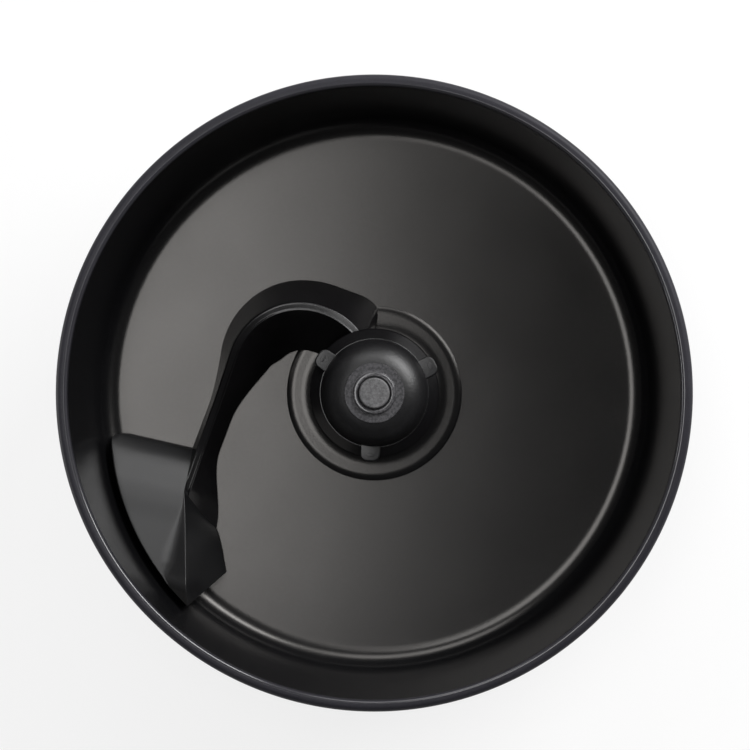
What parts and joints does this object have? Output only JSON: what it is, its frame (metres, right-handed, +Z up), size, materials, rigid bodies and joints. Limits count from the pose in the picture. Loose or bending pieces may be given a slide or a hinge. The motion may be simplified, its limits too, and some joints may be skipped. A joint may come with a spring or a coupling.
{
  "type": "stirring fryer bowl",
  "caption": "Round non-stick cooking bowl of a stirring fryer, with a driven paddle on a central chimney that lifts off at the press of a button.",
  "frame": {"origin": "middle of the plane that the feet stand on, on the paddle's axis", "axes": "+Z up along the paddle's axis, +Y to the top of the picture, +X to its right"},
  "size_m": [0.29, 0.29, 0.0845],
  "materials": {
    "nonstick_black": "glossy non-stick coating on aluminium",
    "rim_charcoal": "satin charcoal",
    "foot_steel": "pressed stainless steel",
    "fastener_steel": "plated steel",
    "silicone": "matte silicone",
    "housing_alloy": "machined",
    "sintered_bronze": "sintered",
    "shaft_steel": "ground steel",
    "coupling_nylon": "glass-filled nylon",
    "paddle_black": "semi-gloss moulding",
    "blade_black": "satin moulding",
    "button_grey": "fine spark texture",
    "spring_steel": "drawn wire"
  },
  "bodies": {
    "bowl": {"bowl_pan": "nonstick_black", "rim_trim": "rim_charcoal", "foot_ring": "foot_steel", "foot_ring_nuts": "fastener_steel", "foot_pads": "silicone", "bearing_housing": "housing_alloy", "housing_gasket": "silicone", "housing_nut": "fastener_steel", "upper_bush": "sintered_bronze", "lower_bush": "sintered_bronze", "shaft_seal": "silicone"},
    "drive": {"drive_shaft": "shaft_steel", "thrust_washer": "shaft_steel", "retaining_clip": "fastener_steel", "drive_coupling": "coupling_nylon", "coupling_pin": "fastener_steel"},
    "paddle": {"paddle_body": "paddle_black", "paddle_blade": "blade_black", "blade_screw": "fastener_steel", "drive_insert": "shaft_steel", "wire_clip": "spring_steel", "hub_cap": "paddle_black", "button_bezel": "button_grey", "button_spring": "spring_steel"},
    "button": {"release_button": "button_grey"}
  },
  "joints": [
    {"name": "paddle_spin", "type": "hinge", "parent": "bowl", "child": "drive", "pos_m": [0, 0, 0.045], "axis": [0, 0, 1], "continuous": true},
    {"name": "paddle_lift", "type": "slide", "parent": "drive", "child": "paddle", "axis": [0, 0, 1], "range_m": [0, 0.08]},
    {"name": "button_press", "type": "slide", "parent": "paddle", "child": "button", "axis": [0, 0, -1], "range_m": [0, 0.0025], "stiffness_N_per_m": 800, "springref_m": -0.002, "deforming": ["button_spring"]}
  ]
}
